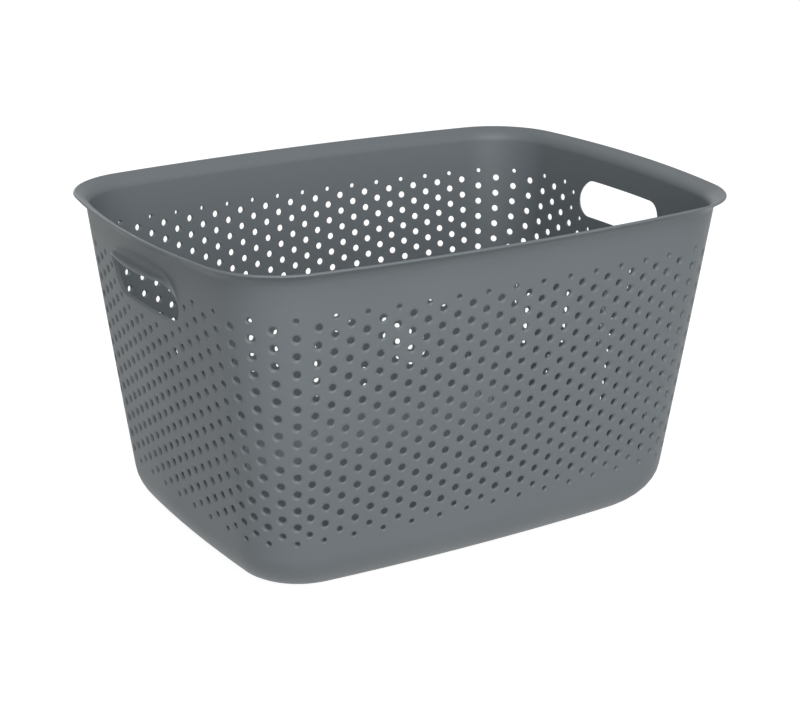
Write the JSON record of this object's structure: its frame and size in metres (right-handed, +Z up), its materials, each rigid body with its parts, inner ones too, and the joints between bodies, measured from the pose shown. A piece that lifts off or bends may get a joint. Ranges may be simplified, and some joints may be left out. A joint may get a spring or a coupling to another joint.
{
  "type": "storage basket",
  "caption": "Perforated rectangular plastic storage basket with tapered walls, rounded corners, a flared rim and a slot handle in each end.",
  "frame": {"origin": "on the floor plane, under the centre of the basket", "axes": "+Z up, +X along the long side towards one handle, +Y across the basket"},
  "size_m": [0.3804, 0.2792, 0.2147],
  "materials": {
    "moulding": "satin moulded grey polypropylene"
  },
  "bodies": {
    "root": {"base_panel": "moulding", "front_bottom_edge": "moulding", "front_wall": "moulding", "front_rim": "moulding", "front_right_corner_bottom_edge": "moulding", "front_right_corner": "moulding", "front_right_corner_rim": "moulding", "right_bottom_edge": "moulding", "right_wall": "moulding", "right_handle": "moulding", "right_rim": "moulding", "back_right_corner_bottom_edge": "moulding", "back_right_corner": "moulding", "back_right_corner_rim": "moulding", "back_bottom_edge": "moulding", "back_wall": "moulding", "back_rim": "moulding", "back_left_corner_bottom_edge": "moulding", "back_left_corner": "moulding", "back_left_corner_rim": "moulding", "left_bottom_edge": "moulding", "left_wall": "moulding", "left_handle": "moulding", "left_rim": "moulding", "front_left_corner_bottom_edge": "moulding", "front_left_corner": "moulding", "front_left_corner_rim": "moulding"}
  },
  "joints": []
}
